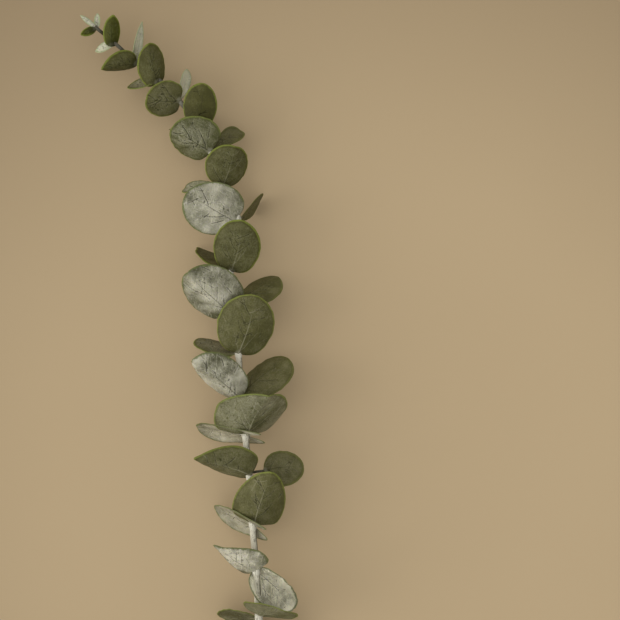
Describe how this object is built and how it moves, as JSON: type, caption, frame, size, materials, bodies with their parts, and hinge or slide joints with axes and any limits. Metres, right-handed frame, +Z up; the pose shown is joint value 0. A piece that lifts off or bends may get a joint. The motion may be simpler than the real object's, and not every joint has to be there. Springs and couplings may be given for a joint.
{
  "type": "eucalyptus branch",
  "caption": "Cut silver-dollar eucalyptus branch lying down: one slender curved stem with round waxy leaves in opposite pairs, shrinking to a fine tip.",
  "frame": {"origin": "middle of the branch's box, on the surface it lies on", "axes": "+Y along the branch towards its growing tip, +Z up from the surface, +X to the right as seen from above"},
  "size_m": [0.1384, 0.4734, 0.0546],
  "materials": {
    "leafy_stem": "fresh leaves with a pale waxy bloom, pale grey-green stem, matt"
  },
  "bodies": {
    "root": {"leafy_stem": "leafy_stem"}
  },
  "joints": []
}
